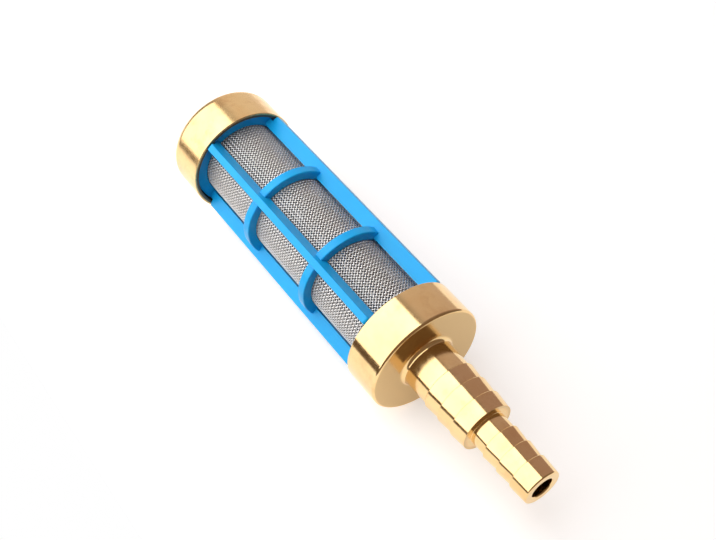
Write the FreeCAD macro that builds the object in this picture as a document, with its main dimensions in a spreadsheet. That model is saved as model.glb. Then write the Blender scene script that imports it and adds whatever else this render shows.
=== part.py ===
import FreeCAD, Part
import math
import os

import Sketcher

# Suction strainer for the end of a small hose, standing on its end cap.
# Millimetres, +Z up along the axis, origin at the centre of the cap's end face.

V = FreeCAD.Vector
doc = FreeCAD.newDocument("HoseStrainer")
sheet = doc.addObject("Spreadsheet::Sheet", "Sizes")


# Driving dimensions
SIZES = [
    ("outer_dia", 25.0, "outside of the end cap and of the collar"),
    ("lip_wall", 1.0, "wall of both brass cups"),
    ("cap_height", 10.0, "end cap, end face to mouth"),
    ("cap_floor", 2.6, "floor of the end cap"),
    ("cap_round", 2.3, "rounding of the cap's lower edge"),
    ("open_length", 56.8, "cap mouth to collar mouth"),
    ("collar_height", 8.4, "collar, mouth to front face"),
    ("collar_depth", 6.4, "depth of the cup inside the collar"),
    ("collar_round", 0.5, "rounding of the collar's front edge"),
    ("mouth_break", 0.15, "broken edges of mouths and bore"),
    ("neck_dia", 11.0, "plain neck and root of the large barbs"),
    ("neck_height", 6.9, "collar face to the first large barb"),
    ("neck_fillet", 1.0, "fillet at the root of the neck"),
    ("barb_count", 3, "barbs of each size"),
    ("large_barb_lip", 0.35, "height of a large barb above the neck"),
    ("large_barb_pitch", 3.7, "spacing of the large barbs"),
    ("small_neck_dia", 7.6, "root of the small barbs"),
    ("small_neck_height", 3.6, "step to the first small barb"),
    ("small_barb_lip", 0.35, "height of a small barb above its root"),
    ("small_barb_pitch", 3.65, "spacing of the small barbs"),
    ("tip_height", 4.2, "last small barb to the tip"),
    ("tip_lip", 0.15, "height of the tip's edge above the barb root"),
    ("tip_round", 0.35, "rounding of the tip's edge"),
    ("bore_dia", 4.6, "bore through the outlet"),
    ("bore_chamfer", 0.6, "countersink where the bore leaves the collar"),
    ("seal_gap", 0.05, "gap on each side of a gasket"),
    ("gasket_thick", 0.9, "gasket thickness"),
    ("gasket_gap", 0.4, "gasket edge to the wall of its cup"),
    ("gasket_lip", 0.8, "gasket reach inside the mesh sleeve"),
    ("thread_gap", 0.3, "plain end ring to the wall of its cup"),
    ("end_ring_wall", 2.2, "wall of the cage's threaded end rings"),
    ("recess", 0.8, "end rings below the mouths"),
    ("ring_wall", 1.9, "wall of the two middle rings"),
    ("ring_height", 2.0, "height of a middle ring"),
    ("low_ring_gap", 17.0, "cap mouth to the lower middle ring"),
    ("high_ring_gap", 17.4, "upper middle ring to the collar mouth"),
    ("ring_edge", 0.25, "rounding of a middle ring's outer edges"),
    ("rib_count", 4, "ribs round the cage"),
    ("rib_angle", 45.0, "first rib from +X"),
    ("rib_setback", 0.35, "rib's inner face outside the ring bore"),
    ("rib_step", 0.15, "rib inside an end ring's outside"),
    ("rib_sink", 0.1, "rib's outer face below the brass"),
    ("rib_foot", 2.6, "rib width at its inner face"),
    ("rib_crest", 1.5, "rib width at its outer face"),
    ("rib_end_gap", 0.15, "gap between a rib's end and a mouth"),
    ("rib_end_round", 0.6, "rounding of a rib's outer end"),
    ("rib_edge", 0.18, "rounding along a rib's outer edges"),
    ("sleeve_gap", 0.1, "mesh sleeve to the ring bore"),
    ("ridge_deep", 0.175, "height of the sleeve's ridges"),
    ("sleeve_thick", 0.175, "sleeve wall between its ridges"),
    ("ridge_wide", 0.6, "width of a ridge of the sleeve"),
    ("ridge_count", 20, "lengthwise ridges, and gaps in each row"),
    ("gap_rows", 6, "rows of gaps along the sleeve"),
    ("gap_wide", 1.4, "width of a gap in the sleeve"),
    ("gap_land", 1.5, "sleeve between two rows of gaps"),
    ("gap_margin", 0.7, "first row of gaps to the mouth of a cup"),
]


class Size:
    """A number together with the sheet expression that drives it."""

    def __init__(self, value, text):
        self.value = value
        self.text = text

    def __add__(self, other):
        return join(self, other, "+", self.value + number(other))

    def __sub__(self, other):
        return join(self, other, "-", self.value - number(other))

    def __mul__(self, other):
        return join(self, other, "*", self.value * number(other))

    def __truediv__(self, other):
        return join(self, other, "/", self.value / number(other))


def number(item):
    return item.value if isinstance(item, Size) else float(item)


def join(left, right, sign, value):
    right_text = right.text if isinstance(right, Size) else str(right)
    return Size(value, "(%s %s %s)" % (left.text, sign, right_text))


size = {}
for row, (alias, amount, note) in enumerate(SIZES, start=1):
    sheet.set("A%d" % row, note)
    sheet.set("B%d" % row, str(amount))
    sheet.setAlias("B%d" % row, alias)
    size[alias] = Size(float(amount), "Sizes." + alias)
doc.recompute()

ZERO = Size(0.0, "0")
# A lengthwise ridge stays this far below the crests of the bands that it crosses
RIDGE_SINK = 0.01
# A cut runs this far past the wall that it goes through
CUT_PAST = 1.0
# Largest error of a measured radius, height or length
CLOSE = 1e-4
# An edge whose middle is this near the crest's flat lies on the crest
CREST_NEAR = 0.05
# Largest and smallest lengthwise part of a level and of an upright direction
LEVEL = 0.01
UPRIGHT = 0.99


def new_body(label):
    body = doc.addObject("PartDesign::Body", label)
    body.Label = label
    body.Placement = FreeCAD.Placement(V(0, 0, 0), FreeCAD.Rotation())
    return body


def origin_item(body, role):
    return [item for item in body.Origin.OriginFeatures if item.Role == role][0]


def new_sketch(body, label, role, height=None, turn=None):
    """A sketch on one of the body's own planes, raised and turned from the sheet."""
    sketch = body.newObject("Sketcher::SketchObject", label)
    sketch.AttachmentSupport = (origin_item(body, role), [""])
    sketch.MapMode = "FlatFace"
    lift = height.value if height else 0.0
    angle = turn.value if turn else 0.0
    rotation = FreeCAD.Rotation(V(0, 0, 1), angle)
    sketch.AttachmentOffset = FreeCAD.Placement(V(0, 0, lift), rotation)
    if height:
        sketch.setExpression("AttachmentOffset.Base.z", height.text)
    if turn:
        sketch.setExpression("AttachmentOffset.Rotation.Angle", turn.text)
    return sketch


def hold(sketch, kind, line, place):
    """Drive one coordinate of a line's start or end from the sheet."""
    axis = -2 if kind == "DistanceX" else -1
    if place.value == 0.0:
        sketch.addConstraint(Sketcher.Constraint("PointOnObject", line, 1, axis))
        return
    rule = Sketcher.Constraint(kind, -1, 1, line, 1, place.value)
    index = sketch.addConstraint(rule)
    sketch.setExpression("Constraints[%d]" % index, place.text)


def closed_line(sketch, corners):
    """A closed outline through the corners, each corner held by two distances."""
    first = sketch.GeometryCount
    count = len(corners)
    points = [V(x.value, y.value, 0) for x, y in corners]
    for index in range(count):
        segment = Part.LineSegment(points[index], points[(index + 1) % count])
        sketch.addGeometry(segment, False)
    for index in range(count):
        here = first + index
        after = first + (index + 1) % count
        sketch.addConstraint(Sketcher.Constraint("Coincident", here, 2, after, 1))
    for index, (x, y) in enumerate(corners):
        hold(sketch, "DistanceX", first + index, x)
        hold(sketch, "DistanceY", first + index, y)


def bar_outline(sketch, inner, outer, inner_width, outer_width):
    """A bar across the sketch's X axis, even on both sides of it."""
    x0, x1 = inner.value, outer.value
    w0, w1 = inner_width.value / 2, outer_width.value / 2
    points = [V(x0, -w0, 0), V(x1, -w1, 0), V(x1, w1, 0), V(x0, w0, 0)]
    first = sketch.GeometryCount
    for index in range(4):
        sketch.addGeometry(Part.LineSegment(points[index], points[(index + 1) % 4]), False)
    for index in range(4):
        joint = Sketcher.Constraint("Coincident", first + index, 2, first + (index + 1) % 4, 1)
        sketch.addConstraint(joint)
    sketch.addConstraint(Sketcher.Constraint("Symmetric", first, 1, first + 3, 1, -1))
    sketch.addConstraint(Sketcher.Constraint("Symmetric", first + 1, 1, first + 2, 1, -1))
    hold(sketch, "DistanceX", first, inner)
    hold(sketch, "DistanceX", first + 1, outer)
    hold(sketch, "DistanceY", first + 3, inner_width / 2)
    hold(sketch, "DistanceY", first + 2, outer_width / 2)


def window_outline(sketch, width, low, high):
    """An upright opening, even on both sides of the sketch's Y axis."""
    half = width.value / 2
    z0, z1 = low.value, high.value
    points = [V(-half, z0, 0), V(half, z0, 0), V(half, z1, 0), V(-half, z1, 0)]
    first = sketch.GeometryCount
    for index in range(4):
        sketch.addGeometry(Part.LineSegment(points[index], points[(index + 1) % 4]), False)
    for index in range(4):
        joint = Sketcher.Constraint("Coincident", first + index, 2, first + (index + 1) % 4, 1)
        sketch.addConstraint(joint)
    sketch.addConstraint(Sketcher.Constraint("Symmetric", first, 1, first + 1, 1, -2))
    sketch.addConstraint(Sketcher.Constraint("Symmetric", first + 3, 1, first + 2, 1, -2))
    for line, place in ((first + 1, low), (first + 2, high)):
        hold(sketch, "DistanceX", line, width / 2)
        hold(sketch, "DistanceY", line, place)


def turn_profile(body, label, outlines, cut=False):
    """Turn closed outlines, drawn as radius and height, once round the Z axis."""
    sketch = new_sketch(body, label + "_profile", "XZ_Plane")
    for corners in outlines:
        closed_line(sketch, corners)
    kind = "PartDesign::Groove" if cut else "PartDesign::Revolution"
    turned = body.newObject(kind, label)
    turned.Profile = sketch
    turned.ReferenceAxis = (sketch, ["V_Axis"])
    turned.Angle = 360.0
    sketch.Visibility = False
    body.Tip = turned
    doc.recompute()
    return turned


def circles_at(shape, radius, height):
    """Names of the circular edges with this radius and height."""
    names = []
    for index, edge in enumerate(shape.Edges, start=1):
        curve = edge.Curve
        if curve.TypeId != "Part::GeomCircle":
            continue
        if abs(curve.Radius - radius) < CLOSE and abs(curve.Center.z - height) < CLOSE:
            names.append("Edge%d" % index)
    return names


def lines_where(shape, test):
    """Names of the straight edges whose middle and direction pass the test."""
    names = []
    for index, edge in enumerate(shape.Edges, start=1):
        if edge.Curve.TypeId != "Part::GeomLine":
            continue
        start, end = edge.Vertexes[0].Point, edge.Vertexes[-1].Point
        if test((start + end) * 0.5, (end - start).normalize()):
            names.append("Edge%d" % index)
    return names


def dress(body, kind, label, base, edges, amount):
    """Round or bevel named edges of the last feature by a size of the sheet."""
    feature = body.newObject("PartDesign::" + kind, label)
    feature.Base = (base, edges)
    name = "Radius" if kind == "Fillet" else "Size"
    setattr(feature, name, amount.value)
    feature.setExpression(name, amount.text)
    body.Tip = feature
    doc.recompute()
    return feature


def polar(body, label, originals, count):
    pattern = body.newObject("PartDesign::PolarPattern", label)
    pattern.Originals = originals
    pattern.Axis = (origin_item(body, "Z_Axis"), [""])
    pattern.Angle = 360.0
    pattern.Occurrences = int(count.value)
    pattern.setExpression("Occurrences", count.text)
    body.Tip = pattern
    doc.recompute()
    return pattern


# Heights shared by several pieces
outer = size["outer_dia"] / 2
mouth = outer - size["lip_wall"]
cap_top = size["cap_height"]
collar_low = cap_top + size["open_length"]
collar_floor = collar_low + size["collar_depth"]
collar_top = collar_low + size["collar_height"]
low_gasket = size["cap_floor"] + size["seal_gap"]
cage_low = low_gasket + size["gasket_thick"] + size["seal_gap"]
high_gasket = collar_floor - size["seal_gap"] - size["gasket_thick"]
cage_high = high_gasket - size["seal_gap"]
spigot = mouth - size["thread_gap"]
hollow = spigot - size["end_ring_wall"]
sleeve_out = hollow - size["sleeve_gap"]
sleeve_wall = sleeve_out - size["ridge_deep"]
sleeve_in = sleeve_wall - size["sleeve_thick"]


# End cap: a turned cup, open upward
cap = new_body("end_cap")
cap_turned = turn_profile(cap, "cap_turned", [[
    (ZERO, ZERO),
    (outer, ZERO),
    (outer, cap_top),
    (mouth, cap_top),
    (mouth, size["cap_floor"]),
    (ZERO, size["cap_floor"]),
]])
foot = circles_at(cap_turned.Shape, outer.value, 0.0)
cap_rounded = dress(cap, "Fillet", "cap_rounded", cap_turned, foot, size["cap_round"])
rims = circles_at(cap_rounded.Shape, outer.value, cap_top.value)
rims += circles_at(cap_rounded.Shape, mouth.value, cap_top.value)
dress(cap, "Chamfer", "cap_mouth_edges", cap_rounded, rims, size["mouth_break"])


# Outlet fitting: collar, neck, two sets of barbs and the bore, turned from one bar
fitting = new_body("outlet_fitting")
neck = size["neck_dia"] / 2
small_neck = size["small_neck_dia"] / 2
bore = size["bore_dia"] / 2
barbs = size["barb_count"]
outline = [
    (mouth, collar_low),
    (outer, collar_low),
    (outer, collar_top),
    (neck, collar_top),
]
barb_low = collar_top + size["neck_height"]
for tooth in range(int(barbs.value)):
    level = barb_low + size["large_barb_pitch"] * tooth
    outline.append((neck, level))
    outline.append((neck + size["large_barb_lip"], level))
step = barb_low + size["large_barb_pitch"] * barbs
outline.append((neck, step))
outline.append((small_neck, step))
small_low = step + size["small_neck_height"]
for tooth in range(int(barbs.value)):
    level = small_low + size["small_barb_pitch"] * tooth
    outline.append((small_neck, level))
    outline.append((small_neck + size["small_barb_lip"], level))
tip = small_low + size["small_barb_pitch"] * (barbs - 1) + size["tip_height"]
tip_edge = small_neck + size["tip_lip"]
outline += [
    (tip_edge, tip),
    (bore, tip),
    (bore, collar_floor),
    (mouth, collar_floor),
]
fitting_turned = turn_profile(fitting, "fitting_turned", [outline])
root = circles_at(fitting_turned.Shape, neck.value, collar_top.value)
rooted = dress(fitting, "Fillet", "neck_root", fitting_turned, root, size["neck_fillet"])
brow = circles_at(rooted.Shape, outer.value, collar_top.value)
browed = dress(fitting, "Fillet", "collar_edge", rooted, brow, size["collar_round"])
end = circles_at(browed.Shape, tip_edge.value, tip.value)
ended = dress(fitting, "Fillet", "tip_edge", browed, end, size["tip_round"])
sink = circles_at(ended.Shape, bore.value, collar_floor.value)
sunk = dress(fitting, "Chamfer", "bore_countersink", ended, sink, size["bore_chamfer"])
rims = circles_at(sunk.Shape, outer.value, collar_low.value)
rims += circles_at(sunk.Shape, mouth.value, collar_low.value)
rims += circles_at(sunk.Shape, bore.value, tip.value)
dress(fitting, "Chamfer", "collar_mouth_edges", sunk, rims, size["mouth_break"])


# Cage: two threaded end rings, two middle rings and the ribs, moulded in one piece
cage = new_body("cage")
low_end = cap_top - size["recess"]
high_end = collar_low + size["recess"]


def ring_outline(inner, outside, low, high):
    return [(inner, low), (outside, low), (outside, high), (inner, high)]


turn_profile(cage, "low_end_ring", [ring_outline(hollow, spigot, cage_low, low_end)])


rib_in = hollow + size["rib_setback"]
rib_core = spigot - size["rib_step"]
rib_out = outer - size["rib_sink"]


def rib_width(reach):
    """Width of the tapered rib at a distance from the axis."""
    taper = (size["rib_foot"] - size["rib_crest"]) / (rib_out - rib_in)
    return size["rib_foot"] - taper * (reach - rib_in)


def rib_pad(label, inner, outside, low, high):
    sketch = new_sketch(cage, label + "_section", "XY_Plane", low, size["rib_angle"])
    bar_outline(sketch, inner, outside, rib_width(inner), rib_width(outside))
    pad = cage.newObject("PartDesign::Pad", label)
    pad.Profile = sketch
    pad.Length = (high - low).value
    pad.setExpression("Length", (high - low).text)
    sketch.Visibility = False
    cage.Tip = pad
    doc.recompute()
    return pad


core = rib_pad("rib_body", rib_in, rib_core, cage_low, cage_high)
crest_low = cap_top + size["rib_end_gap"]
crest_high = collar_low - size["rib_end_gap"]
crest = rib_pad("rib_crest", (rib_in + rib_core) / 2, rib_out, crest_low, crest_high)
ribs = polar(cage, "ribs", [core, crest], size["rib_count"])
ring_out = hollow + size["ring_wall"]
low_ring = cap_top + size["low_ring_gap"]
high_ring_top = collar_low - size["high_ring_gap"]
rings = turn_profile(cage, "rings", [
    ring_outline(hollow, ring_out, low_ring, low_ring + size["ring_height"]),
    ring_outline(hollow, ring_out, high_ring_top - size["ring_height"], high_ring_top),
    ring_outline(hollow, spigot, high_end, cage_high),
])


def at_crest(middle):
    return abs(math.hypot(middle.x, middle.y) - rib_out.value) < CREST_NEAR


def crest_end(middle, way):
    return at_crest(middle) and abs(way.z) < LEVEL


def crest_side(middle, way):
    return at_crest(middle) and abs(way.z) > UPRIGHT


ends = lines_where(rings.Shape, crest_end)
ended = dress(cage, "Fillet", "rib_ends", rings, ends, size["rib_end_round"])
sides = lines_where(ended.Shape, crest_side)
edged = dress(cage, "Fillet", "rib_edges", ended, sides, size["rib_edge"])
brows = []
for level in (low_ring, low_ring + size["ring_height"],
              high_ring_top - size["ring_height"], high_ring_top):
    brows += circles_at(edged.Shape, ring_out.value, level.value)
dress(cage, "Fillet", "ring_edges", edged, brows, size["ring_edge"])


# Mesh sleeve: a thin tube with ridges both ways and rows of gaps, for the woven mesh
sleeve = new_body("mesh_sleeve")
rows = int(size["gap_rows"].value)
land = size["gap_land"]
band = size["ridge_wide"]
gaps_low = cap_top + size["gap_margin"]
gap_pitch = (size["open_length"] - size["gap_margin"] * 2 + land) / size["gap_rows"]
outline = [
    (sleeve_in, cage_low),
    (sleeve_out, cage_low),
    (sleeve_out, cage_low + band),
    (sleeve_wall, cage_low + band),
]
for row in range(rows + 1):
    centre = gaps_low - land / 2 + gap_pitch * row
    low_edge = centre - band / 2
    high_edge = centre + band / 2
    outline += [(sleeve_wall, low_edge), (sleeve_out, low_edge)]
    outline += [(sleeve_out, high_edge), (sleeve_wall, high_edge)]
outline += [(sleeve_wall, cage_high - band), (sleeve_out, cage_high - band)]
outline += [(sleeve_out, cage_high), (sleeve_in, cage_high)]
turn_profile(sleeve, "sleeve_tube", [outline])
half_step = Size(180.0, "180") / size["ridge_count"]
ridge_sketch = new_sketch(sleeve, "ridge_section", "XY_Plane", cage_low, half_step)
ridge_foot = (sleeve_in + sleeve_wall) / 2
bar_outline(ridge_sketch, ridge_foot, sleeve_out - RIDGE_SINK, band, band)
ridge = sleeve.newObject("PartDesign::Pad", "ridge")
ridge.Profile = ridge_sketch
ridge.Length = (cage_high - cage_low).value
ridge.setExpression("Length", (cage_high - cage_low).text)
ridge_sketch.Visibility = False
sleeve.Tip = ridge
doc.recompute()
ridges = polar(sleeve, "ridges", [ridge], size["ridge_count"])
gap_sketch = new_sketch(sleeve, "gap_column", "XZ_Plane")
for row in range(rows):
    low_edge = gaps_low + gap_pitch * row
    window_outline(gap_sketch, size["gap_wide"], low_edge, low_edge + gap_pitch - land)
column = sleeve.newObject("PartDesign::Pocket", "gaps_in_line")
column.Profile = gap_sketch
reach = sleeve_out + CUT_PAST
column.Length = reach.value
column.setExpression("Length", reach.text)
gap_sketch.Visibility = False
sleeve.Tip = column
doc.recompute()
if column.Shape.Volume >= ridges.Shape.Volume:
    raise RuntimeError("the sleeve's gaps cut nothing")
polar(sleeve, "gaps", [column], size["ridge_count"])


# Gaskets: flat rings between the cage's ends and the floors of the cups
def gasket(label, low):
    body = new_body(label)
    hole = sleeve_in - size["gasket_lip"]
    edge = mouth - size["gasket_gap"]
    corners = ring_outline(hole, edge, low, low + size["gasket_thick"])
    turn_profile(body, label + "_ring", [corners])
    return body


cap_gasket = gasket("cap_gasket", low_gasket)
outlet_gasket = gasket("outlet_gasket", high_gasket)

doc.recompute()
pieces = [cap, fitting, cage, sleeve, cap_gasket, outlet_gasket]
for item in doc.Objects:
    for word in ("Invalid", "Error"):
        if word in item.State:
            raise RuntimeError("%s is %s" % (item.Label, word))
os.makedirs("parts", exist_ok=True)
for piece in pieces:
    shape = piece.Shape
    if shape.isNull() or not shape.isValid() or len(shape.Solids) != 1:
        raise RuntimeError("%s has no single valid solid" % piece.Label)
    shape.exportStep("parts/%s.step" % piece.Label)
    print(piece.Label, round(shape.Volume, 1), shape.BoundBox)
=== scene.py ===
import math

import bpy
import numpy as np
from mathutils import Matrix, Vector


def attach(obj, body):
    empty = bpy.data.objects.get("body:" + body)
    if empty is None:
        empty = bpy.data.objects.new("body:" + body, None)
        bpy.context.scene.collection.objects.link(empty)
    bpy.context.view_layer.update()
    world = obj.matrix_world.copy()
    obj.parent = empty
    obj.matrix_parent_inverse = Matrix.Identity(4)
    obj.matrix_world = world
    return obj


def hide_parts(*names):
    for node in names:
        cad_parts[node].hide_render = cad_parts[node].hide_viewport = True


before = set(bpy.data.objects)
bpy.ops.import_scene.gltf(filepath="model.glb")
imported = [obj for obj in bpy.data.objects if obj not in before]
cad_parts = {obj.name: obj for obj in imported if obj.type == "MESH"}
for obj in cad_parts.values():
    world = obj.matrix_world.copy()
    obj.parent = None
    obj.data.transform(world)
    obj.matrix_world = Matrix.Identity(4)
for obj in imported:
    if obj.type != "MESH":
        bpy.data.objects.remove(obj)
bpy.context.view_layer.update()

MM = 0.001

# Sizes of the solids, in millimetres
OUTER = 12.5
MOUTH = 11.5
CAP_TOP = 10.0
CAP_FLOOR = 2.6
CAP_ROUND = 2.3
COLLAR_LOW = 66.8
COLLAR_FLOOR = 73.2
COLLAR_TOP = 75.2
NECK = 5.5
BARB_LOW = 82.1
BARB_PITCH = 3.7
BARB_LIP = 0.35
STEP = 93.2
SMALL_NECK = 3.8
SMALL_LOW = 96.8
SMALL_PITCH = 3.65
BARB_COUNT = 3
TIP = 108.3
TIP_EDGE = 3.95
BORE = 2.3
SPIGOT = 11.2
CAGE_LOW = 3.6
CAGE_HIGH = 72.2
SLEEVE_IN = 8.55
SLEEVE_OUT = 8.9
THREAD_PITCH = 1.25

# Colours, linear
WHITE = (1.0, 1.0, 1.0, 1.0)
BRASS_PALE = (0.90, 0.66, 0.33)
BRASS_WARM = (0.86, 0.59, 0.27)
BRASS_STAIN = (0.66, 0.36, 0.15)
# Painted shade for brass faces that look along the axis
BRASS_FACE_SHADE = (0.62, 0.43, 0.20)
# Painted shade for the bores and rims of the cups
BRASS_BORE_SHADE = (0.10, 0.085, 0.055)
BLUE_DEEP = (0.005, 0.42, 0.93)
BLUE_LIGHT = (0.009, 0.455, 0.95)
BLUE_FLECK = (0.07, 0.51, 0.95)
STEEL_GREY = (0.72, 0.71, 0.70)
STEEL_BRIGHT = (0.84, 0.83, 0.82)
STEEL_WARM = (0.65, 0.63, 0.60)
# Painted shade for the low parts of the weave
STEEL_WEAVE_SHADE = (0.20, 0.19, 0.19)
RUBBER_BLACK = (0.016, 0.016, 0.017)
RUBBER_DUST = (0.055, 0.052, 0.048)


# Shader helpers

class Nodes:
    """The node tree of a material or a world, with short ways to add and join nodes."""

    def __init__(self, owner):
        self.owner = owner
        owner.use_nodes = True
        self.tree = owner.node_tree
        self.tree.nodes.clear()

    def add(self, kind, inputs=None, **settings):
        node = self.tree.nodes.new("ShaderNode" + kind)
        for key, value in settings.items():
            setattr(node, key, value)
        for key, value in (inputs or {}).items():
            if isinstance(value, bpy.types.NodeSocket):
                self.tree.links.new(value, node.inputs[key])
            else:
                node.inputs[key].default_value = value
        return node

    def level(self, source, low, high, new_low=0.0, new_high=1.0):
        """Carry source from the range low to high over to new_low to new_high, and clamp it."""
        node = self.add("MapRange", {"Value": source, "From Min": low, "From Max": high,
                                     "To Min": new_low, "To Max": new_high})
        return node.outputs["Result"]

    def maths(self, operation, first, second):
        return self.add("Math", {0: first, 1: second}, operation=operation).outputs[0]

    def blend(self, factor, first, second):
        node = self.add("Mix", {"Factor": factor}, data_type="RGBA")
        for index, value in ((6, first), (7, second)):
            if isinstance(value, bpy.types.NodeSocket):
                self.tree.links.new(value, node.inputs[index])
            else:
                node.inputs[index].default_value = tuple(value) + (1.0,)
        return node.outputs[2]

    def noise(self, vector, scale, detail=2.0, roughness=0.5):
        node = self.add("TexNoise", {"Vector": vector, "Scale": scale, "Detail": detail,
                                     "Roughness": roughness})
        return node.outputs["Fac"]

    def place(self, scale=(1.0, 1.0, 1.0)):
        """Object coordinates in millimetres, stretched by scale."""
        point = self.add("TexCoord").outputs["Object"]
        factors = tuple(item / MM for item in scale)
        return self.add("VectorMath", {0: point, 1: factors}, operation="MULTIPLY").outputs[0]

    def bump(self, height, strength, distance, normal=None):
        inputs = {"Height": height, "Strength": strength, "Distance": distance * MM}
        if normal:
            inputs["Normal"] = normal
        return self.add("Bump", inputs).outputs["Normal"]

    def finish(self, inputs):
        shader = self.add("BsdfPrincipled", inputs)
        self.add("OutputMaterial", {"Surface": shader.outputs["BSDF"]})
        return self.owner


def material_nodes(name):
    return Nodes(bpy.data.materials.new(name))


def radius_of(nodes, point):
    """Distance of a point from the part's axis."""
    flat = nodes.add("VectorMath", {0: point, 1: (1.0, 1.0, 0.0)}, operation="MULTIPLY")
    return nodes.add("VectorMath", {0: flat.outputs[0]}, operation="LENGTH").outputs["Value"]


def brass_material():
    nodes = material_nodes("turned_brass")
    point = nodes.place()
    split = nodes.add("SeparateXYZ", {"Vector": point})
    radius = radius_of(nodes, point)
    # Turning marks: fine rings that follow the height on walls and the radius on faces
    both = nodes.add("CombineXYZ", {"X": radius, "Y": split.outputs["Z"], "Z": 0.0})
    fine = nodes.noise(both.outputs[0], 11.0, 3.0, 0.6)
    wide = nodes.noise(both.outputs[0], 1.6, 2.0, 0.5)
    marks = nodes.bump(fine, 0.3, 0.008)
    marks = nodes.bump(wide, 0.15, 0.012, marks)
    # Light scratches and the slight unevenness of a handled surface
    scratch = nodes.noise(nodes.place((3.2, 3.2, 0.35)), 1.0, 4.0, 0.7)
    marks = nodes.bump(nodes.level(scratch, 0.62, 0.72), 0.1, 0.004, marks)
    cloud = nodes.noise(point, 0.16, 3.0, 0.55)
    warm = nodes.level(cloud, 0.35, 0.7)
    clean = nodes.blend(warm, BRASS_PALE, BRASS_WARM)
    # The cap is more handled than the outlet: duller and more stained
    height = split.outputs["Z"]
    handled = nodes.level(height, CAP_TOP + 4.0, CAP_TOP + 2.0)
    stain = nodes.level(nodes.noise(point, 0.3, 4.0, 0.65), 0.5, 0.75, 0.0, 0.6)
    stain = nodes.maths("MULTIPLY", stain, nodes.level(handled, 0.0, 1.0, 0.6, 1.0))
    colour = nodes.blend(stain, clean, BRASS_STAIN)
    rough = nodes.level(nodes.noise(point, 0.9, 3.0, 0.6), 0.3, 0.7, 0.09, 0.16)
    rough = nodes.maths("ADD", rough, nodes.level(handled, 0.0, 1.0, 0.0, 0.09))
    # Turned faces are a little duller than turned walls, and those outside the neck are also
    # painted darker brown, a painted shade for the shadowed reflection they show
    facing = nodes.add("SeparateXYZ", {"Vector": nodes.add("TexCoord").outputs["Normal"]})
    face = nodes.level(facing.outputs["Z"], 0.85, 0.99)
    rough = nodes.maths("ADD", rough, nodes.maths("MULTIPLY", face, 0.07))
    face = nodes.maths("MULTIPLY", face, nodes.level(radius, NECK - 1.0, NECK))
    colour = nodes.blend(face, colour, BRASS_FACE_SHADE)
    # The threaded bores and rims of both cups are painted dark and made dull and less metallic:
    # painted shade in the recess, and a painted dark reflection on the rims
    cap = nodes.maths("MULTIPLY", nodes.level(height, CAP_FLOOR - 0.3, CAP_FLOOR),
                      nodes.level(height, CAP_TOP + 0.1, CAP_TOP))
    collar = nodes.maths("MULTIPLY", nodes.level(height, COLLAR_LOW - 0.1, COLLAR_LOW),
                         nodes.level(height, COLLAR_FLOOR + 0.3, COLLAR_FLOOR))
    within = nodes.level(radius, OUTER - 0.3, OUTER - 0.5)
    inside = nodes.maths("MULTIPLY", nodes.maths("ADD", cap, collar), within)
    colour = nodes.blend(inside, colour, BRASS_BORE_SHADE)
    metal = nodes.level(inside, 0.0, 1.0, 1.0, 0.2)
    rough = nodes.maths("MAXIMUM", rough, nodes.level(inside, 0.0, 1.0, 0.0, 0.45))
    tangent = nodes.add("Tangent", direction_type="RADIAL", axis="Z")
    return nodes.finish({"Base Color": colour, "Metallic": metal, "Roughness": rough,
                         "Anisotropic": 0.4, "Anisotropic Rotation": 0.25,
                         "Tangent": tangent.outputs[0], "Normal": marks})


def plastic_material():
    nodes = material_nodes("blue_moulded")
    point = nodes.place()
    cloud = nodes.noise(point, 0.12, 2.0, 0.5)
    base = nodes.blend(nodes.level(cloud, 0.3, 0.7), BLUE_DEEP, BLUE_LIGHT)
    fleck = nodes.level(nodes.noise(point, 6.0, 2.0, 0.5), 0.66, 0.8, 0.0, 0.12)
    colour = nodes.blend(fleck, base, BLUE_FLECK)
    grain = nodes.bump(nodes.noise(point, 5.0, 3.0, 0.6), 0.2, 0.012)
    flow = nodes.bump(nodes.noise(nodes.place((1.0, 1.0, 0.25)), 0.5, 2.0, 0.5), 0.25, 0.06, grain)
    rough = nodes.level(nodes.noise(point, 1.2, 3.0, 0.6), 0.3, 0.7, 0.28, 0.40)
    return nodes.finish({"Base Color": colour, "Roughness": rough, "Normal": flow,
                         "IOR": 1.46, "Specular IOR Level": 0.36,
                         "Subsurface Weight": 0.12, "Subsurface Scale": 0.0009,
                         "Subsurface Radius": (0.15, 0.6, 1.0)})


def steel_material():
    nodes = material_nodes("woven_steel")
    point = nodes.place()
    shade = nodes.level(nodes.noise(point, 0.35, 3.0, 0.6), 0.3, 0.7)
    base = nodes.blend(shade, STEEL_GREY, STEEL_BRIGHT)
    fine = nodes.level(nodes.noise(point, 3.0, 2.0, 0.5), 0.35, 0.65, 0.0, 0.5)
    colour = nodes.blend(fine, base, STEEL_WARM)
    # Painted shade in the low parts of the weave, between and under the wires
    low = nodes.level(radius_of(nodes, point), 8.82, 8.66)
    colour = nodes.blend(low, colour, STEEL_WEAVE_SHADE)
    rough = nodes.level(nodes.noise(point, 2.0, 2.0, 0.5), 0.3, 0.7, 0.26, 0.38)
    return nodes.finish({"Base Color": colour, "Metallic": 1.0, "Roughness": rough})


def rubber_material():
    nodes = material_nodes("black_rubber")
    point = nodes.place()
    dust = nodes.level(nodes.noise(point, 1.1, 4.0, 0.65), 0.45, 0.75, 0.0, 0.6)
    colour = nodes.blend(dust, RUBBER_BLACK, RUBBER_DUST)
    grain = nodes.bump(nodes.noise(point, 9.0, 3.0, 0.6), 0.4, 0.02)
    rough = nodes.level(dust, 0.0, 0.6, 0.5, 0.72)
    return nodes.finish({"Base Color": colour, "Roughness": rough, "Normal": grain})


BRASS = brass_material()
PLASTIC = plastic_material()
STEEL = steel_material()
RUBBER = rubber_material()


# Mesh helpers

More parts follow.
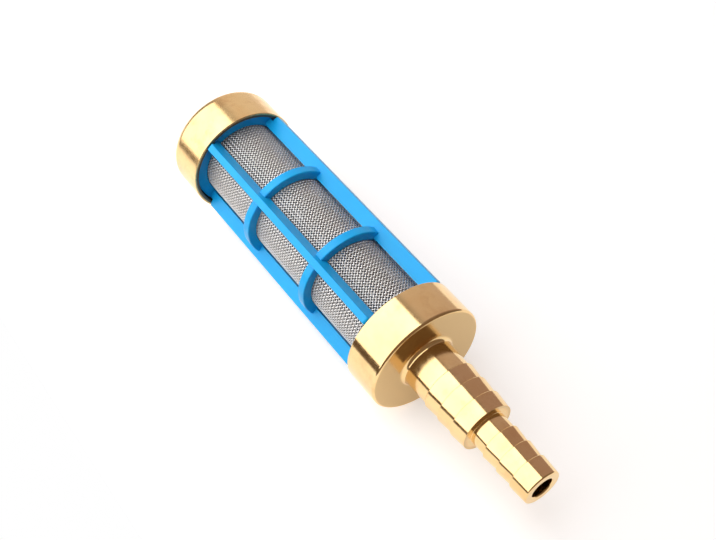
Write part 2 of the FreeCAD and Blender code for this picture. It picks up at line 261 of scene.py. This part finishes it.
def new_piece(name, points, faces, material, body, normals=None):
    mesh = bpy.data.meshes.new(name)
    scaled = [tuple(float(value) * MM for value in point) for point in points]
    mesh.from_pydata(scaled, [], faces)
    mesh.update()
    mesh.shade_smooth()
    if normals is not None:
        mesh.normals_split_custom_set_from_vertices([tuple(item) for item in normals])
    mesh.materials.append(material)
    piece = bpy.data.objects.new(name, mesh)
    bpy.context.scene.collection.objects.link(piece)
    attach(piece, body)
    return piece


LARGE_ROUNDING = 1.0


def rounded(corners, arc_steps=4):
    """Turn (radius, height, rounding) corners into points with outward normals.

    The outline runs with the material on its left, so the outward normal is on its right.
    """
    count = len(corners)
    result = []
    for index in range(count):
        here = np.array(corners[index][:2], float)
        before = np.array(corners[index - 1][:2], float)
        after = np.array(corners[(index + 1) % count][:2], float)
        way_in = (here - before) / np.linalg.norm(here - before)
        way_out = (after - here) / np.linalg.norm(after - here)
        normal_in = np.array([way_in[1], -way_in[0]])
        normal_out = np.array([way_out[1], -way_out[0]])
        turn = math.acos(max(-1.0, min(1.0, float(way_in @ way_out))))
        size = corners[index][2]
        setback = size * math.tan(turn / 2)
        side = 1.0 if way_in[0] * way_out[1] - way_in[1] * way_out[0] > 0 else -1.0
        start = here - way_in * setback
        centre = start - normal_in * size * side
        steps = max(2, int(round(arc_steps * turn / (math.pi / 2))))
        if size >= LARGE_ROUNDING:
            steps = 3 * arc_steps
        for step in range(steps + 1):
            share = step / steps
            mixed = normal_in * math.sin((1 - share) * turn) + normal_out * math.sin(share * turn)
            normal = mixed / np.linalg.norm(mixed)
            result.append((centre + normal * size * side, normal))
    return result


def lathe(name, outline, material, body, steps=180, loop=True):
    """Turn an outline of (point, normal) pairs round the axis."""
    points, normals, faces = [], [], []
    angles = [2 * math.pi * step / steps for step in range(steps)]
    for (radius, height), (out, up) in outline:
        for angle in angles:
            points.append((radius * math.cos(angle), radius * math.sin(angle), height))
            normals.append((out * math.cos(angle), out * math.sin(angle), up))
    last = len(outline) if loop else len(outline) - 1
    for index in range(last):
        after = (index + 1) % len(outline)
        for step in range(steps):
            right = (step + 1) % steps
            faces.append((index * steps + step, index * steps + right,
                          after * steps + right, after * steps + step))
    if not loop:
        for index, height, up in ((0, outline[0][0][1], outline[0][1][1]),
                                  (len(outline) - 1, outline[-1][0][1], outline[-1][1][1])):
            centre = len(points)
            points.append((0.0, 0.0, height))
            normals.append((0.0, 0.0, up))
            for step in range(steps):
                here = index * steps + step
                right = index * steps + (step + 1) % steps
                faces.append((centre, right, here) if index == 0 else (centre, here, right))
    return new_piece(name, points, faces, material, body, normals)


# Roundings that several corners share
RIM_OUT = 0.15
RIM_IN = 0.12
BARB_EDGE = 0.16
BARB_ROOT = 0.08

# Brass end cap. Its outline is closed through two helper corners near the axis, which are
# then dropped, so that the faces end in a fan round the axis.
HELPER = 0.6
HELPER_ROUND = 0.05
HELPER_END = 0.65
cap_outline = rounded([
    (HELPER, 0.0, HELPER_ROUND), (OUTER, 0.0, CAP_ROUND), (OUTER, CAP_TOP, RIM_OUT),
    (MOUTH, CAP_TOP, RIM_IN), (MOUTH, CAP_FLOOR, 0.25), (HELPER, CAP_FLOOR, HELPER_ROUND)])
cap_outline = [item for item in cap_outline if item[0][0] > HELPER_END]
end_cap = lathe("turned_cap", cap_outline, BRASS, "end_cap", loop=False)
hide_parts("end_cap")


# Brass outlet: collar, neck, two sets of barbs and the bore
corners = [(MOUTH, COLLAR_LOW, RIM_IN), (OUTER, COLLAR_LOW, RIM_OUT), (OUTER, COLLAR_TOP, 0.65),
           (NECK, COLLAR_TOP, 1.0)]
for tooth in range(BARB_COUNT):
    level = BARB_LOW + BARB_PITCH * tooth
    corners += [(NECK, level, BARB_ROOT), (NECK + BARB_LIP, level, BARB_EDGE)]
corners += [(NECK, STEP, 0.06), (SMALL_NECK, STEP, 0.1)]
for tooth in range(BARB_COUNT):
    level = SMALL_LOW + SMALL_PITCH * tooth
    corners += [(SMALL_NECK, level, BARB_ROOT), (SMALL_NECK + BARB_LIP, level, BARB_EDGE)]
corners += [(TIP_EDGE, TIP, 0.35), (BORE, TIP, 0.3), (BORE, COLLAR_FLOOR, 0.5),
            (MOUTH, COLLAR_FLOOR, 0.2)]
outlet = lathe("turned_outlet", rounded(corners), BRASS, "outlet_fitting")
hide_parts("outlet_fitting")


# Screw threads, as rounded ridges along a right-handed helix
THREAD_STEPS = 72
THREAD_FADES = 3.0
THREAD_SECTION = ((-0.42, 0.0), (-0.2, 0.72), (-0.07, 1.0), (0.07, 1.0), (0.2, 0.72), (0.42, 0.0))
CAGE_CREST = 11.42
CUP_CREST = 11.28


def thread(name, root, crest, low, high, shift, material, body):
    """A ridge between two heights, which fades out over a third of a turn at both ends.

    Ridges of one shift, counted in pitches, lie on one helix.
    """
    phase = 2 * math.pi * (low / THREAD_PITCH + shift)
    sink = 0.03 if root < crest else -0.03
    turns = (high - low) / THREAD_PITCH
    rings = int(turns * THREAD_STEPS)
    points, faces = [], []
    for ring in range(rings + 1):
        share = ring / rings
        angle = phase + 2 * math.pi * turns * share
        fade = min(1.0, share * turns * THREAD_FADES, (1.0 - share) * turns * THREAD_FADES)
        centre = low + (high - low) * share
        for offset, rise in THREAD_SECTION:
            radius = root - sink + (crest - root + sink) * rise * fade
            points.append((radius * math.cos(angle), radius * math.sin(angle), centre + offset))
    size = len(THREAD_SECTION)
    for ring in range(rings):
        for index in range(size):
            after = (index + 1) % size
            quad = (ring * size + index, (ring + 1) * size + index,
                    (ring + 1) * size + after, ring * size + after)
            faces.append(quad if root < crest else quad[::-1])
    faces.append(tuple(range(size)) if root < crest else tuple(range(size))[::-1])
    far = tuple(rings * size + index for index in range(size))
    faces.append(far[::-1] if root < crest else far)
    return new_piece(name, points, faces, material, body)


HALF = 0.5
thread("cage_thread_low", SPIGOT, CAGE_CREST, 4.2, 8.6, 0.0, PLASTIC, "cage")
thread("cage_thread_high", SPIGOT, CAGE_CREST, 68.2, 71.6, 0.0, PLASTIC, "cage")
thread("cap_thread", MOUTH, CUP_CREST, 4.4, 9.2, HALF, BRASS, "end_cap")
thread("collar_thread", MOUTH, CUP_CREST, 67.6, 71.6, HALF, BRASS, "outlet_fitting")


# Woven mesh, cut on the bias: two families of wires that cross over and under
WIRES = 70
WIRE_RISE = 0.087
WIRE_HALF = 0.17
WIRE_GAP = 0.16
WIRE_BEND = 0.28
# Corners of a wire's section, outward in rises and across in half widths
WIRE_SECTION = ((0.95, -0.45), (0.95, 0.45), (-0.5, 1.0), (-0.5, -1.0))
WIRE_PLACE = (SLEEVE_IN + SLEEVE_OUT) / 2
CROSSING = math.pi * WIRE_PLACE / WIRES


def wire_family(name, side):
    """Wires that climb the tube to one side, four-sided, with two rings of points a crossing."""
    low, high = CAGE_LOW + WIRE_GAP, CAGE_HIGH - WIRE_GAP
    crossings = int((high - low) / CROSSING)
    levels, beat = [], []
    for crossing in range(crossings):
        for shift in (-WIRE_BEND, WIRE_BEND):
            levels.append(low + CROSSING * (crossing + 0.5 + shift))
            beat.append(1.0 if crossing % 2 == 0 else -1.0)
    levels, beat, count = np.array(levels), np.array(beat), 2 * crossings
    sides = len(WIRE_SECTION)
    points, faces = [], []
    for wire in range(WIRES):
        angles = 2 * math.pi * wire / WIRES + side * (levels - low - CROSSING / 2) / WIRE_PLACE
        middle = WIRE_PLACE + side * WIRE_RISE * beat
        first = len(points)
        for angle, radius, level in zip(angles, middle, levels):
            outward = np.array([math.cos(angle), math.sin(angle), 0.0])
            along = np.array([-side * math.sin(angle), side * math.cos(angle), 1.0])
            along = along / math.sqrt(2)
            across = np.cross(outward, along)
            centre = outward * radius + np.array([0.0, 0.0, level])
            for lift, shift in WIRE_SECTION:
                points.append(centre + outward * WIRE_RISE * lift + across * WIRE_HALF * shift)
        for index in range(count - 1):
            here = first + index * sides
            for corner in range(sides):
                after = (corner + 1) % sides
                faces.append((here + after, here + sides + after,
                              here + sides + corner, here + corner))
        faces.append(tuple(first + corner for corner in range(sides))[::-1])
        last = first + (count - 1) * sides
        faces.append(tuple(last + corner for corner in range(sides)))
    return new_piece(name, points, faces, STEEL, "cage")


wires_left = wire_family("mesh_wires_left", -1)
wires_right = wire_family("mesh_wires_right", 1)
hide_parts("mesh_sleeve")
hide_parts("mesh_sleeve")


# The cage and the gaskets keep their solids and get materials
def repaint(node, material):
    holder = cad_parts[node]
    holder.data.materials.clear()
    holder.data.materials.append(material)


repaint("cage", PLASTIC)
repaint("cap_gasket", RUBBER)
repaint("outlet_gasket", RUBBER)


# Stage: the table that the part lies on, which is upright in the part's own frame
TABLE_UP = Vector((0.0744566, -0.9972243, 0.0000000))
ALONG = Vector((0.0, 0.0, 1.0))
SIDE = ALONG.cross(TABLE_UP)
TABLE_GAP = 0.02
TABLE_ENDS = (-170, 260)
TABLE_SIDES = (60, -190)
TABLE_COLOUR = (0.8, 0.8, 0.8, 1.0)
TABLE_GLOW = 0.46


def table_point(along, side, up):
    """A place given along the part, to the photograph's left and above the axis, in metres."""
    return (ALONG * along + SIDE * side + TABLE_UP * up) * MM


def table_material():
    """Pale paper with a glow that camera, glossy and transmission rays see; clear from below."""
    nodes = material_nodes("pale_table")
    path = nodes.add("LightPath")
    seen = nodes.maths("MAXIMUM", path.outputs["Is Camera Ray"], path.outputs["Is Glossy Ray"])
    seen = nodes.maths("MAXIMUM", seen, path.outputs["Is Transmission Ray"])
    seen = nodes.maths("MULTIPLY", seen, TABLE_GLOW)
    paper = nodes.add("BsdfDiffuse", {"Color": TABLE_COLOUR})
    glow = nodes.add("Emission", {"Color": WHITE, "Strength": seen})
    both = nodes.add("AddShader", {0: paper.outputs[0], 1: glow.outputs[0]})
    clear = nodes.add("BsdfTransparent")
    behind = nodes.add("NewGeometry").outputs["Backfacing"]
    choice = nodes.add("MixShader", {0: behind, 1: both.outputs[0], 2: clear.outputs[0]})
    nodes.add("OutputMaterial", {"Surface": choice.outputs[0]})
    return nodes.owner


def stage_table():
    mesh = bpy.data.meshes.new("table")
    drop = -OUTER - TABLE_GAP
    (low, high), (near, far) = TABLE_ENDS, TABLE_SIDES
    edge = [(low, near), (low, far), (high, far), (high, near)]
    mesh.from_pydata([table_point(along, side, drop) for along, side in edge], [], [(0, 1, 2, 3)])
    mesh.materials.append(table_material())
    table = bpy.data.objects.new("table", mesh)
    bpy.context.scene.collection.objects.link(table)
    mesh.update()
    if mesh.polygons[0].normal.dot(TABLE_UP) < 0:
        mesh.flip_normals()
    table.visible_diffuse = False
    table.visible_shadow = False


stage_table()


def soft_lamp(name, along, angle, reach, length, width, power):
    """A rectangular soft lamp beside the axis, its angle counted from the side upward."""
    data = bpy.data.lights.new(name, "AREA")
    data.shape = "RECTANGLE"
    data.size = length * MM
    data.size_y = width * MM
    data.energy = power
    lamp = bpy.data.objects.new(name, data)
    bpy.context.scene.collection.objects.link(lamp)
    turn = math.radians(angle)
    toward = SIDE * math.cos(turn) + TABLE_UP * math.sin(turn)
    lamp_axes = Matrix((ALONG, toward.cross(ALONG), toward)).transposed()
    place = (ALONG * along + toward * reach) * MM
    lamp.matrix_world = Matrix.Translation(place) @ lamp_axes.to_4x4()


soft_lamp("softbox", along=-185, angle=48, reach=250, length=590, width=617, power=2.35)


def sky():
    """A plain room: warm to the right, dim behind the camera and low on the left."""
    world = bpy.data.worlds.new("studio")
    bpy.context.scene.world = world
    nodes = Nodes(world)
    direction = nodes.add("TexCoord").outputs["Generated"]

    def dot(axis):
        inputs = {0: direction, 1: tuple(axis)}
        return nodes.add("VectorMath", inputs, operation="DOT_PRODUCT").outputs["Value"]

    def ease(value, low, high):
        inputs = {"Value": value, "From Min": low, "From Max": high}
        return nodes.add("MapRange", inputs, interpolation_type="SMOOTHSTEP").outputs["Result"]

    along, side, up = dot(ALONG), dot(SIDE), dot(TABLE_UP)
    warm = nodes.blend(ease(along, -0.25, -0.65), (0.38, 0.27, 0.27), (0.82, 0.72, 0.68))
    # Each layer covers the room so far, from nothing at its first limit to all at its second
    room = (0.25, 0.23, 0.22)
    for measure, start, full, colour in ((side, -0.05, -0.4, warm),
                                         (side, 0.2, 0.6, (0.13, 0.09, 0.07)),
                                         (along, -0.1, 0.2, (0.20, 0.16, 0.13)),
                                         (along, 0.35, 0.7, (0.22, 0.15, 0.11)),
                                         (up, -0.2, -0.5, (0.30, 0.30, 0.30))):
        room = nodes.blend(ease(measure, start, full), room, colour)
    dim = nodes.add("Background", {"Color": room})
    white = nodes.add("Background", {"Color": WHITE})
    camera_ray = nodes.add("LightPath").outputs["Is Camera Ray"]
    choice = nodes.add("MixShader", {0: camera_ray, 1: dim.outputs[0], 2: white.outputs[0]})
    nodes.add("OutputWorld", {"Surface": choice.outputs[0]})


sky()

# Camera at the photograph's angle
CAMERA_PLACE = Vector((93.813, -169.390, 166.329))
CAMERA_RIGHT = Vector((-0.81197401, -0.06062510, 0.58053664))
CAMERA_UP = Vector((-0.40161780, -0.66369848, -0.63103683))
CAMERA_BACK = Vector((0.42355795, -0.74553935, 0.51455780))
camera_data = bpy.data.cameras.new("camera")
camera_data.sensor_width = 36.0
camera_data.lens = 56.46
camera_data.clip_start = 0.01
camera = bpy.data.objects.new("camera", camera_data)
bpy.context.scene.collection.objects.link(camera)
camera_axes = Matrix((CAMERA_RIGHT, CAMERA_UP, CAMERA_BACK)).transposed()
camera.matrix_world = Matrix.Translation(CAMERA_PLACE * MM) @ camera_axes.to_4x4()
bpy.context.scene.camera = camera

bpy.context.scene.view_settings.view_transform = "Standard"
